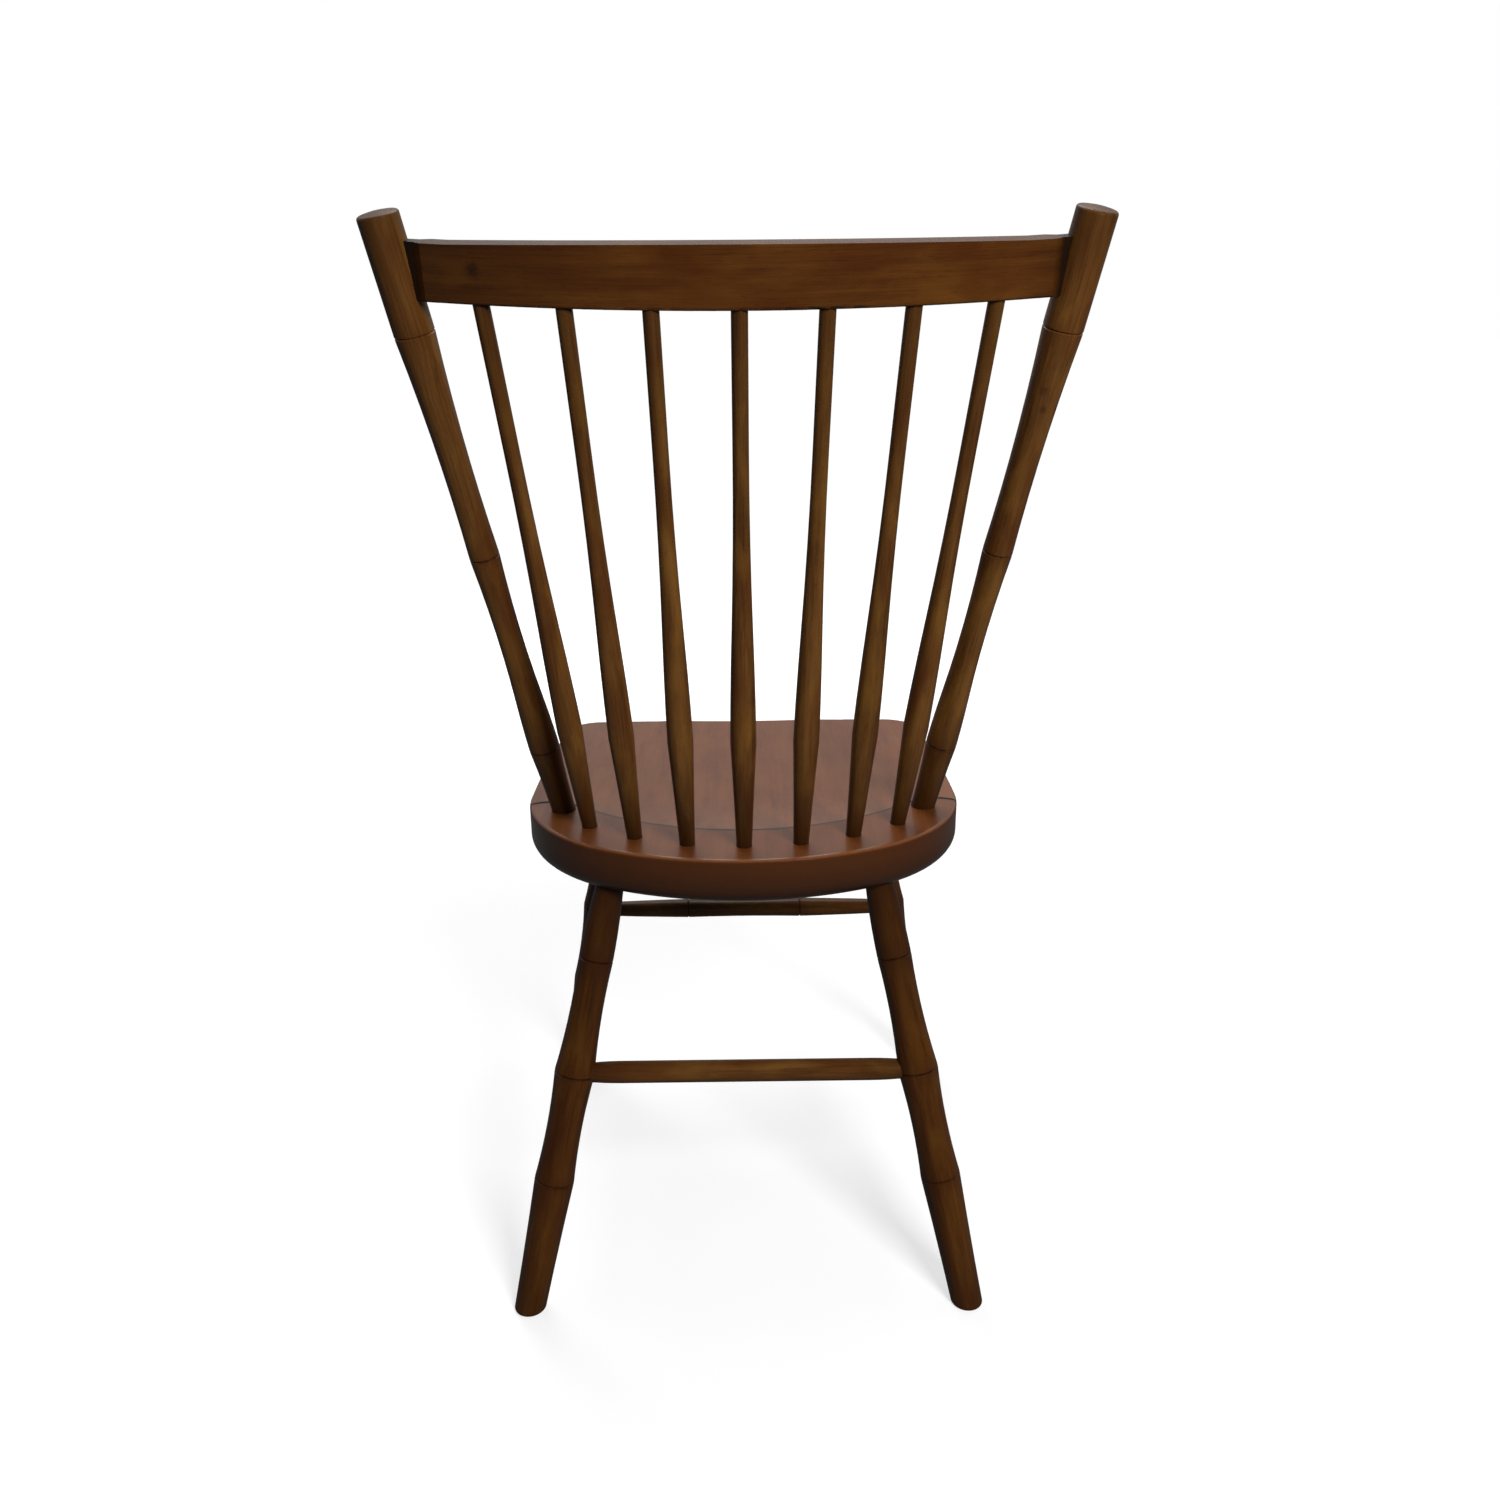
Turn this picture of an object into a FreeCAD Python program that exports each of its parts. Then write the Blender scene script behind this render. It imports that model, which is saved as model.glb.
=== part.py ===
import FreeCAD, Part
import math
import os

from FreeCAD import Vector

# Rod-back side chair of turned and bent wood, in millimetres.
# The sitter faces -Y, and +X is to the sitter's left. The origin lies on the
# floor, under the middle of the chair's plan.

# Seat plank
SEAT_HEIGHT = 445.0
SEAT_THICKNESS = 44.0
SEAT_WIDTH = 420.0
SEAT_BACK_REACH = 204.0
SEAT_FRONT_REACH = 203.0
SEAT_WIDEST_Y = 38.0
SEAT_BACK_RADIUS = 285.0
SEAT_FRONT_INSET = 12.0
SEAT_SIDE_HOLLOW = 3.0
SEAT_FRONT_BOW = 4.0
SEAT_CORNER_RADIUS = 38.0
SEAT_TOP_ROUND = 4.0
SEAT_UNDER_ROUND = 15.0

# Saddle, and the line scored behind it
SADDLE_DEPTH = 10.0
SADDLE_SIDE_RIM = 24.0
SADDLE_BACK_RIM = 68.0
SADDLE_FRONT_OVERHANG = 32.0
SADDLE_DEEPEST_Y = 10.0
SCORE_WIDTH = 3.0
SCORE_DEPTH = 1.4
SCORE_BACK_RIM = 72.0
SCORE_SHOULDER_INSET = 56.0
SCORE_SHOULDER_DROP = 34.0
SCORE_POST_GAP = 6.0
SCORE_EDGE_RISE = 6.75

# Back posts, with heights along the post from the seat
POST_SIDE_INSET = 37.0
POST_BACK_INSET = 127.5
POST_SPLAY = 92.0
POST_RAKE = 136.5
POST_RISE = 524.0
POST_SEAT_DIAMETER = 22.5
POST_FLARE_DIAMETER = 24.2
POST_LOW_RING_HEIGHT = 73.0
POST_LOW_RING_DIAMETER = 28.3
POST_SWELL_LENGTH = 53.0
POST_SWELL_END_DIAMETER = 25.2
POST_LOW_WAIST_RISE = 114.0
POST_LOW_WAIST_DIAMETER = 21.7
POST_MIDDLE_RING_HEIGHT = 270.0
POST_MIDDLE_RING_DIAMETER = 25.7
POST_HIGH_WAIST_RISE = 75.0
POST_HIGH_WAIST_DIAMETER = 23.8
POST_HIGH_RING_DROP = 89.0
POST_HEAD_DIAMETER = 32.0
POST_HEAD_ROUND = 2.4
POST_HEAD_DOME = 1.4
POST_TENON_LENGTH = 30.0

# Spindles, with heights along the spindle from the seat
SPINDLES = 7
SPINDLE_ROW_RADIUS = 231.0
SPINDLE_BACK_INSET = 34.0
SPINDLE_POST_GAP = 29.5
SPINDLE_SEAT_DIAMETER = 14.2
SPINDLE_FLARE_DIAMETER = 18.0
SPINDLE_KNUCKLE_HEIGHT = 104.0
SPINDLE_KNUCKLE_DIAMETER = 22.7
SPINDLE_SWELL_LENGTH = 104.0
SPINDLE_SWELL_END_DIAMETER = 17.9
SPINDLE_TAPER_LENGTH = 148.0
SPINDLE_TOP_DIAMETER = 12.8
SPINDLE_SEAT_TENON = 17.0
SPINDLE_CREST_TENON = 14.0

# Crest rail
CREST_HEIGHT = 42.2
CREST_CROWN = 4.0
CREST_THICKNESS = 19.0
CREST_BOW = 46.0
CREST_TILT = 12.0
CREST_DROP = 62.0
CREST_EDGE_ROUND = 3.0
CREST_TENON_THICKNESS = 11.0
CREST_TENON_LENGTH = 17.0
CREST_BEVEL_LENGTH = 8.0
CREST_SHOULDER_GAP = 1.0

# Legs, with heights along the leg from the floor
REAR_LEG_SIDE_INSET = 86.5
REAR_LEG_BACK_INSET = 57.5
REAR_LEG_SPLAY = 85.0
REAR_LEG_RAKE = 94.0
FRONT_LEG_SIDE_INSET = 68.5
FRONT_LEG_FRONT_INSET = 64.5
FRONT_LEG_SPLAY = 70.0
FRONT_LEG_RAKE = 52.5
LEG_FOOT_DIAMETER = 28.8
LEG_SHIN_DIAMETER = 32.5
LEG_LOW_RING_HEIGHT = 129.0
LEG_LOW_RING_DIAMETER = 37.2
LEG_LOW_WAIST_RISE = 61.0
LEG_LOW_WAIST_DIAMETER = 33.0
LEG_MIDDLE_RING_HEIGHT = 235.0
LEG_MIDDLE_RING_DIAMETER = 37.6
LEG_HIGH_WAIST_RISE = 72.0
LEG_HIGH_WAIST_DIAMETER = 30.0
LEG_HIGH_RING_HEIGHT = 346.0
LEG_HIGH_RING_DIAMETER = 32.0
LEG_NECK_DIAMETER = 30.6
LEG_TENON_DIAMETER = 26.0
LEG_TENON_LENGTH = 22.0
LEG_FOOT_ROUND = 3.0

# Stretchers
STRETCHER_HEIGHT = 224.0
SIDE_STRETCHER_DROP = 35.0
STRETCHER_TENON_REACH = 19.0
REAR_STRETCHER_DIAMETER = 20.5
REAR_STRETCHER_END = 18.6
REAR_STRETCHER_TAPER = 26.0
REAR_STRETCHER_SWELL = 0.75
FRONT_STRETCHER_DIAMETER = 21.6
FRONT_STRETCHER_RING_X = 66.0
FRONT_STRETCHER_MIDDLE = 20.0
FRONT_STRETCHER_END = 17.0
SIDE_STRETCHER_DIAMETER = 20.5
SIDE_STRETCHER_END = 16.0
RING_STRETCHER_SWELL = 0.6

# Scored rings on the turnings
RING_WIDTH = 2.0
RING_DEPTH = 0.9

# Fits and tool travel
GLUE_GAP = 0.1
TENON_END_GAP = 0.5
TENON_CHAMFER = 1.0
NECK_MARGIN = 1.5
OVERRUN = 60.0
STRAIGHT_LIMIT = 1e-9

UP = Vector(0, 0, 1)
ACROSS = Vector(1, 0, 0)
ORIGIN = Vector(0, 0, 0)


# Points and directions

def direction_to(start, end):
    """Unit vector from start to end."""
    direction = end.sub(start)
    direction.normalize()
    return direction


def along(start, direction, distance):
    """Point at a distance from start."""
    return start + Vector(direction).multiply(distance)


def mirrored(point):
    """The same point on the other side of the chair."""
    return Vector(-point.x, point.y, point.z)


def rake(direction):
    """Angle between a stick and the plumb line, in radians."""
    return math.acos(abs(direction.z))


def leg_point(leg, height):
    """Point on a leg's axis at a height above the floor."""
    foot, top = leg
    return foot + top.sub(foot).multiply(height / top.z)


# Axes of the sticks, from the lower end to the upper end

UNDERSIDE = SEAT_HEIGHT - SEAT_THICKNESS
POST_FOOT = Vector(SEAT_WIDTH / 2 - POST_SIDE_INSET, SEAT_BACK_REACH - POST_BACK_INSET, SEAT_HEIGHT)
POST = (POST_FOOT, POST_FOOT + Vector(POST_SPLAY, POST_RAKE, POST_RISE))
REAR_LEG_TOP = Vector(SEAT_WIDTH / 2 - REAR_LEG_SIDE_INSET, SEAT_BACK_REACH - REAR_LEG_BACK_INSET, UNDERSIDE)
REAR_LEG = (REAR_LEG_TOP + Vector(REAR_LEG_SPLAY, REAR_LEG_RAKE, -UNDERSIDE), REAR_LEG_TOP)
FRONT_LEG_TOP = Vector(
    SEAT_WIDTH / 2 - FRONT_LEG_SIDE_INSET, FRONT_LEG_FRONT_INSET - SEAT_FRONT_REACH, UNDERSIDE)
FRONT_LEG = (FRONT_LEG_TOP + Vector(FRONT_LEG_SPLAY, -FRONT_LEG_RAKE, -UNDERSIDE), FRONT_LEG_TOP)

# The crest rises along CREST_UP, and CREST_BACK points out of its rear face.
CREST_LEAN = math.radians(CREST_TILT)
CREST_UP = Vector(0, math.sin(CREST_LEAN), math.cos(CREST_LEAN))
CREST_BACK = Vector(0, math.cos(CREST_LEAN), -math.sin(CREST_LEAN))
CREST_END = along(POST[1], direction_to(POST[1], POST[0]), CREST_DROP)
CREST_RADIUS = (CREST_END.x ** 2 + CREST_BOW ** 2) / (2 * CREST_BOW)
CREST_SWEEP = math.asin(CREST_END.x / CREST_RADIUS)
CREST_CENTRE = along(Vector(0, CREST_END.y, CREST_END.z), CREST_BACK, CREST_BOW - CREST_RADIUS)


def crest_point(angle, radius):
    """Point on the crest's lower level, at an angle from its middle."""
    out = Vector(CREST_BACK).multiply(radius * math.cos(angle))
    side = Vector(ACROSS).multiply(radius * math.sin(angle))
    return CREST_CENTRE + out + side


def spindle_ends(index):
    """Seat point and crest point of a spindle, counted from the left."""
    last = (SPINDLES - 1) / 2
    place = last - index
    angle = place / last * math.asin((POST_FOOT.x - SPINDLE_POST_GAP) / SPINDLE_ROW_RADIUS)
    centre = Vector(0, SEAT_BACK_REACH - SPINDLE_BACK_INSET - SPINDLE_ROW_RADIUS, SEAT_HEIGHT)
    outward = Vector(math.sin(angle), math.cos(angle), 0)
    crest_angle = place / (last + 1) * CREST_SWEEP
    return along(centre, outward, SPINDLE_ROW_RADIUS), crest_point(crest_angle, CREST_RADIUS)


# Edges and turnings

def line(start, end):
    """Straight edge."""
    return Part.makeLine(start, end)


def arc(start, middle, end):
    """Circular edge through three points."""
    return Part.Arc(start, middle, end).toShape()


def start_of(edge):
    """First point of an edge."""
    return edge.valueAt(edge.FirstParameter)


def end_of(edge):
    """Last point of an edge."""
    return edge.valueAt(edge.LastParameter)


def arc_before(point, edge):
    """Arc from a point that runs smoothly into the start of an edge."""
    start = start_of(edge)
    tangent = edge.tangentAt(edge.FirstParameter)
    normal = Vector(tangent.z, 0, -tangent.x)
    chord = point.sub(start)
    bulge = 2 * normal.dot(chord)
    if abs(bulge) < STRAIGHT_LIMIT:
        return line(point, start)
    radius = chord.dot(chord) / bulge
    centre = along(start, normal, radius)
    toward = direction_to(centre, along(start, chord, 0.5))
    return arc(point, along(centre, toward, abs(radius)), start)


def outline_point(height, diameter):
    """Point of a turning's outline."""
    return Vector(diameter / 2, 0, height)


def straight_span(low, high):
    """Straight outline between two stations of height and diameter."""
    return [line(outline_point(*low), outline_point(*high))]


def curved_span(low, middle, high):
    """Curved outline through three stations of height and diameter."""
    return [arc(outline_point(*low), outline_point(*middle), outline_point(*high))]


def shouldered_span(low, *stations):
    """Curved outline through three stations, led into by a rounded shoulder."""
    body = curved_span(*stations)
    return [arc_before(outline_point(*low), body[0])] + body


def tapered_span(low, shoulder, slim, high):
    """Rounded shoulder and hollow taper that end in an even stick."""
    even = straight_span(slim, high)
    taper = arc_before(outline_point(*shoulder), even[0])
    return [arc_before(outline_point(*low), taper), taper] + even


def ring_groove(height, diameter):
    """Outline of a scored ring: a small V cut into the turning."""
    floor = outline_point(height, diameter - 2 * RING_DEPTH)
    return [
        line(outline_point(height - RING_WIDTH / 2, diameter), floor),
        line(floor, outline_point(height + RING_WIDTH / 2, diameter)),
    ]


def below_ring(height, diameter):
    """Station where a span stops under a scored ring."""
    return height - RING_WIDTH / 2, diameter


def above_ring(height, diameter):
    """Station where a span starts over a scored ring."""
    return height + RING_WIDTH / 2, diameter


def tenon_below(length, diameter, shoulder):
    """Outline of a lower tenon, from its end on the axis up to the shoulder."""
    tip = outline_point(-length, diameter - 2 * TENON_CHAMFER)
    rim = outline_point(TENON_CHAMFER - length, diameter)
    return [
        line(Vector(0, 0, -length), tip),
        line(tip, rim),
        line(rim, outline_point(shoulder, diameter)),
    ]


def tenon_above(shoulder, end, diameter):
    """Outline of an upper tenon, from the shoulder to its end on the axis."""
    tip = outline_point(end, diameter - 2 * TENON_CHAMFER)
    rim = outline_point(end - TENON_CHAMFER, diameter)
    return [
        line(outline_point(shoulder, diameter), rim),
        line(rim, tip),
        line(tip, Vector(0, 0, end)),
    ]


def turned(edges, ends):
    """Solid turned from an outline and laid on the axis between two points."""
    closing = line(end_of(edges[-1]), start_of(edges[0]))
    solid = Part.Face(Part.Wire(edges + [closing])).revolve(ORIGIN, UP, 360)
    start, finish = ends
    solid.Placement = FreeCAD.Placement(start, FreeCAD.Rotation(UP, direction_to(start, finish)))
    return solid


def bore(surface_point, inward, diameter, depth):
    """Hole for a round tenon, with the glue gap round it and at its end."""
    mouth = along(surface_point, inward, -OVERRUN)
    return Part.makeCylinder(diameter / 2 + GLUE_GAP, OVERRUN + depth + TENON_END_GAP, mouth, inward)


def neck_length(ends, diameter):
    """Length of even neck that a raked round tenon needs beside its socket."""
    return diameter / 2 * math.tan(rake(direction_to(*ends))) + NECK_MARGIN


def mirror_copy(shape):
    """The chair's right-hand piece, made from its left-hand one."""
    return shape.mirror(ORIGIN, ACROSS)


# Seat

def half_seat_outline():
    """Left half of the seat's outline, from the middle back to the front."""
    half = SEAT_WIDTH / 2
    run = SEAT_BACK_REACH - SEAT_WIDEST_Y
    quarter = (2 * SEAT_BACK_RADIUS * run - run ** 2 - half ** 2) / (2 * (SEAT_BACK_RADIUS - half))
    back_centre = Vector(0, SEAT_BACK_REACH - SEAT_BACK_RADIUS, 0)
    quarter_centre = Vector(half - quarter, SEAT_WIDEST_Y, 0)
    outward = direction_to(back_centre, quarter_centre)
    lean = math.atan2(outward.x, outward.y)
    turn = (math.pi / 2 + lean) / 2
    join = along(back_centre, outward, SEAT_BACK_RADIUS)
    back_middle = back_centre + Vector(math.sin(lean / 2), math.cos(lean / 2), 0).multiply(SEAT_BACK_RADIUS)
    quarter_middle = quarter_centre + Vector(math.sin(turn), math.cos(turn), 0).multiply(quarter)
    widest = Vector(half, SEAT_WIDEST_Y, 0)
    corner = Vector(half - SEAT_FRONT_INSET, -SEAT_FRONT_REACH, 0)
    side_middle = Vector(half - SEAT_SIDE_HOLLOW, (widest.y + corner.y) / 2, 0)
    return [
        (Vector(0, SEAT_BACK_REACH, 0), back_middle, join),
        (join, quarter_middle, widest),
        (widest, side_middle, corner),
    ]


def seat_outline():
    """Closed outline of the seat."""
    left = half_seat_outline()
    right = [(mirrored(c), mirrored(b), mirrored(a)) for a, b, c in reversed(left)]
    corner = left[-1][2]
    front = (corner, Vector(0, corner.y - SEAT_FRONT_BOW, 0), mirrored(corner))
    return Part.Wire([arc(*points) for points in left + [front] + right])


def seat_plank():
    """Plank with round front corners, a soft top edge and a deep under edge."""
    plank = Part.Face(seat_outline()).extrude(Vector(0, 0, SEAT_THICKNESS))
    plank.translate(Vector(0, 0, UNDERSIDE))
    corners = []
    for edge in plank.Edges:
        box = edge.BoundBox
        if box.ZLength > SEAT_THICKNESS / 2 and box.YMax < -SEAT_FRONT_REACH / 2:
            corners.append(edge)
    plank = plank.makeFillet(SEAT_CORNER_RADIUS, corners)
    under = [edge for edge in plank.Edges if edge.BoundBox.ZMax < UNDERSIDE + GLUE_GAP]
    plank = plank.makeFillet(SEAT_UNDER_ROUND, under)
    top = [edge for edge in plank.Edges if edge.BoundBox.ZMin > SEAT_HEIGHT - GLUE_GAP]
    return plank.makeFillet(SEAT_TOP_ROUND, top)


def score_line(z):
    """Line scored across the seat behind the saddle and before the posts."""
    middle = Vector(0, SEAT_BACK_REACH - SCORE_BACK_RIM, z)
    shoulder = Vector(POST_FOOT.x - SCORE_SHOULDER_INSET, middle.y - SCORE_SHOULDER_DROP, z)
    before_post = Vector(POST_FOOT.x, POST_FOOT.y - POST_SEAT_DIAMETER / 2 - SCORE_POST_GAP, z)
    between = along(shoulder, before_post.sub(shoulder), 0.5)
    edge = Vector(SEAT_WIDTH / 2 + SCORE_WIDTH, before_post.y + SCORE_EDGE_RISE, z)
    half = [middle, shoulder, between, before_post, edge]
    curve = Part.BSplineCurve()
    curve.interpolate([mirrored(point) for point in reversed(half[1:])] + half)
    return curve.toShape()


def dish(run, side):
    """Half of the saddle: a shallow arc swept to the back (1) or front (-1)."""
    bottom = Vector(0, SADDLE_DEEPEST_Y, SEAT_HEIGHT - SADDLE_DEPTH)
    lip = SEAT_HEIGHT + SADDLE_DEPTH
    half_width = SEAT_WIDTH / 2 - SADDLE_SIDE_RIM
    round_across = (half_width ** 2 + SADDLE_DEPTH ** 2) / (2 * SADDLE_DEPTH)
    round_along = (run ** 2 + SADDLE_DEPTH ** 2) / (2 * SADDLE_DEPTH)
    rise = 2 * SADDLE_DEPTH
    reach = math.sqrt(2 * round_across * rise - rise ** 2)
    left = Vector(reach, SADDLE_DEEPEST_Y, lip)
    face = Part.Face(Part.Wire([arc(left, bottom, mirrored(left)), line(mirrored(left), left)]))
    sweep = math.degrees(math.acos(1 - rise / round_along))
    return face.revolve(along(bottom, UP, round_along), ACROSS, side * sweep)


def saddle_region():
    """Block over the part of the seat in front of the scored line."""
    back = score_line(UNDERSIDE)
    left = end_of(back)
    right = start_of(back)
    front_left = Vector(left.x, -SEAT_FRONT_REACH - OVERRUN, UNDERSIDE)
    front_right = mirrored(front_left)
    edges = [back, line(left, front_left), line(front_left, front_right), line(front_right, right)]
    return Part.Face(Part.Wire(edges)).extrude(Vector(0, 0, SEAT_THICKNESS + OVERRUN))


def score_cutter():
    """V cut along the scored line, at its full width on the seat's top."""
    path = score_line(SEAT_HEIGHT - SCORE_DEPTH)
    floor = start_of(path)
    sideways = path.tangentAt(path.FirstParameter).cross(UP).multiply(SCORE_WIDTH)
    rise = Vector(0, 0, 2 * SCORE_DEPTH)
    corners = [floor, floor + sideways + rise, floor - sideways + rise, floor]
    profile = Part.makePolygon(corners)
    return Part.Wire([path]).makePipeShell([profile], True, False)


def seat():
    """Saddled plank with sockets for the posts, the spindles and the legs."""
    back_run = SEAT_BACK_REACH - SADDLE_BACK_RIM - SADDLE_DEEPEST_Y
    front_run = SADDLE_DEEPEST_Y + SEAT_FRONT_REACH + SADDLE_FRONT_OVERHANG
    hollow = dish(back_run, 1).fuse(dish(front_run, -1)).common(saddle_region())
    holes = [bore(POST[0], direction_to(POST[1], POST[0]), POST_SEAT_DIAMETER, POST_TENON_LENGTH)]
    for leg in (REAR_LEG, FRONT_LEG):
        holes.append(bore(leg[1], direction_to(*leg), LEG_TENON_DIAMETER, LEG_TENON_LENGTH))
    holes += [mirror_copy(hole) for hole in holes]
    for index in range(SPINDLES):
        low, high = spindle_ends(index)
        holes.append(bore(low, direction_to(high, low), SPINDLE_SEAT_DIAMETER, SPINDLE_SEAT_TENON))
    return seat_plank().cut(hollow).cut(score_cutter()).cut(holes)


# Back

def post_outline(length):
    """Outline of a post, from its tenon to its domed head."""
    neck = neck_length(POST, POST_SEAT_DIAMETER)
    low = (POST_LOW_RING_HEIGHT, POST_LOW_RING_DIAMETER)
    swell_end = (POST_LOW_RING_HEIGHT + POST_SWELL_LENGTH, POST_SWELL_END_DIAMETER)
    low_waist = (POST_LOW_RING_HEIGHT + POST_LOW_WAIST_RISE, POST_LOW_WAIST_DIAMETER)
    middle = (POST_MIDDLE_RING_HEIGHT, POST_MIDDLE_RING_DIAMETER)
    high_waist = (POST_MIDDLE_RING_HEIGHT + POST_HIGH_WAIST_RISE, POST_HIGH_WAIST_DIAMETER)
    high = (length - POST_HIGH_RING_DROP, POST_HEAD_DIAMETER)
    rim = (length - POST_HEAD_ROUND, POST_HEAD_DIAMETER)
    edges = tenon_below(POST_TENON_LENGTH, POST_SEAT_DIAMETER, neck)
    flare = (POST_LOW_RING_HEIGHT / 2, POST_FLARE_DIAMETER)
    edges += curved_span((neck, POST_SEAT_DIAMETER), flare, below_ring(*low))
    edges += ring_groove(*low)
    edges += shouldered_span(above_ring(*low), swell_end, low_waist, below_ring(*middle))
    edges += ring_groove(*middle)
    edges += curved_span(above_ring(*middle), high_waist, below_ring(*high))
    edges += ring_groove(*high)
    edges += straight_span(above_ring(*high), rim)
    return edges + domed_end(rim, length)


def domed_end(rim, length):
    """Outline of a rounded rim and a shallow dome centred on the axis."""
    shoulder = outline_point(length, POST_HEAD_DIAMETER - 2 * POST_HEAD_ROUND)
    ease = POST_HEAD_ROUND * (1 - math.sqrt(0.5))
    rim_middle = outline_point(length - ease, POST_HEAD_DIAMETER - 2 * ease)
    radius = (shoulder.x ** 2 + POST_HEAD_DOME ** 2) / (2 * POST_HEAD_DOME)
    half_turn = math.asin(shoulder.x / radius) / 2
    top = Vector(0, 0, length + POST_HEAD_DOME)
    flank = top + Vector(radius * math.sin(half_turn), 0, radius * (math.cos(half_turn) - 1))
    return [arc(outline_point(*rim), rim_middle, shoulder), arc(shoulder, flank, top)]


def crest_plan(half_thickness, sweep):
    """Plan of the bent crest at one thickness, as a flat face."""
    inner = CREST_RADIUS - half_thickness
    outer = CREST_RADIUS + half_thickness
    edges = [
        arc(crest_point(-sweep, outer), crest_point(0, outer), crest_point(sweep, outer)),
        line(crest_point(sweep, outer), crest_point(sweep, inner)),
        arc(crest_point(sweep, inner), crest_point(0, inner), crest_point(-sweep, inner)),
        line(crest_point(-sweep, inner), crest_point(-sweep, outer)),
    ]
    return Part.Face(Part.Wire(edges))


def crest_mortise():
    """Slot in the posts for the crest's tenons."""
    reach = CREST_TENON_LENGTH + TENON_END_GAP - POST_HEAD_DIAMETER / 2
    plan = crest_plan(CREST_TENON_THICKNESS / 2 + GLUE_GAP, CREST_SWEEP + reach / CREST_RADIUS)
    plan.translate(Vector(CREST_UP).multiply(-GLUE_GAP))
    return plan.extrude(Vector(CREST_UP).multiply(CREST_HEIGHT + 2 * GLUE_GAP))


def post():
    """Left post, with its mortise for the crest."""
    return turned(post_outline(POST[0].distanceToPoint(POST[1])), POST).cut(crest_mortise())


def spindle(index):
    """Slender spindle that swells to a soft knuckle low down."""
    ends = spindle_ends(index)
    length = ends[0].distanceToPoint(ends[1])
    neck = neck_length(ends, SPINDLE_SEAT_DIAMETER)
    knuckle = (SPINDLE_KNUCKLE_HEIGHT, SPINDLE_KNUCKLE_DIAMETER)
    shoulder = (SPINDLE_KNUCKLE_HEIGHT + SPINDLE_SWELL_LENGTH, SPINDLE_SWELL_END_DIAMETER)
    slim = (shoulder[0] + SPINDLE_TAPER_LENGTH, SPINDLE_TOP_DIAMETER)
    crest_side = (length - CREST_THICKNESS, SPINDLE_TOP_DIAMETER)
    edges = tenon_below(SPINDLE_SEAT_TENON, SPINDLE_SEAT_DIAMETER, neck)
    flare = (SPINDLE_KNUCKLE_HEIGHT / 2, SPINDLE_FLARE_DIAMETER)
    edges += curved_span((neck, SPINDLE_SEAT_DIAMETER), flare, knuckle)
    edges += tapered_span(knuckle, shoulder, slim, crest_side)
    edges += tenon_above(crest_side[0], length + SPINDLE_CREST_TENON, SPINDLE_TOP_DIAMETER)
    return turned(edges, ends)


def crest_blank():
    """Bent board whose ends are bevelled down to tenons."""
    shoulder = POST_HEAD_DIAMETER / 2 + CREST_SHOULDER_GAP
    slim_sweep = CREST_SWEEP - shoulder / CREST_RADIUS
    full_sweep = slim_sweep - CREST_BEVEL_LENGTH / CREST_RADIUS
    tenon_sweep = CREST_SWEEP + (CREST_TENON_LENGTH - POST_HEAD_DIAMETER / 2) / CREST_RADIUS
    edges = []
    for side in (1, -1):
        full = CREST_RADIUS + side * CREST_THICKNESS / 2
        slim = CREST_RADIUS + side * CREST_TENON_THICKNESS / 2
        right_end = crest_point(-full_sweep, full)
        left_end = crest_point(full_sweep, full)
        edges.append(arc(right_end, crest_point(0, full), left_end))
        for end in (1, -1):
            bevel = crest_point(end * slim_sweep, slim)
            edges.append(line(crest_point(end * full_sweep, full), bevel))
            edges.append(line(bevel, crest_point(end * tenon_sweep, slim)))
    for end in (1, -1):
        inner = crest_point(end * tenon_sweep, CREST_RADIUS - CREST_TENON_THICKNESS / 2)
        outer = crest_point(end * tenon_sweep, CREST_RADIUS + CREST_TENON_THICKNESS / 2)
        edges.append(line(inner, outer))
    face = Part.Face(Part.Wire(Part.__sortEdges__(edges)))
    return face.extrude(Vector(CREST_UP).multiply(CREST_HEIGHT + CREST_CROWN))


def crest_template():
    """Upright view of the crest, crowned between its ends, cut straight through."""
    knee_x = CREST_END.x - POST_HEAD_DIAMETER - CREST_BEVEL_LENGTH
    low = Vector(CREST_END.x + OVERRUN, 0, 0)
    side = Vector(low.x, 0, CREST_HEIGHT)
    knee = Vector(knee_x, 0, CREST_HEIGHT)
    crown = Vector(0, 0, CREST_HEIGHT + CREST_CROWN)
    edges = [
        line(mirrored(low), low),
        line(low, side),
        line(side, knee),
        arc(knee, crown, mirrored(knee)),
        line(mirrored(knee), mirrored(side)),
        line(mirrored(side), mirrored(low)),
    ]
    solid = Part.Face(Part.Wire(edges)).extrude(Vector(0, 2 * CREST_RADIUS, 0))
    solid.rotate(ORIGIN, ACROSS, -CREST_TILT)
    solid.translate(CREST_CENTRE)
    return solid


def crest_rail():
    """Bent crest with eased edges, tenons and the spindles' sockets."""
    rail = crest_blank().common(crest_template())
    rail = rail.makeFillet(CREST_EDGE_ROUND, [edge for edge in rail.Edges if edge.Length > CREST_END.x])
    holes = []
    for index in range(SPINDLES):
        low, high = spindle_ends(index)
        holes.append(bore(high, direction_to(low, high), SPINDLE_TOP_DIAMETER, SPINDLE_CREST_TENON))
    return rail.cut(holes)


# Base

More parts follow.
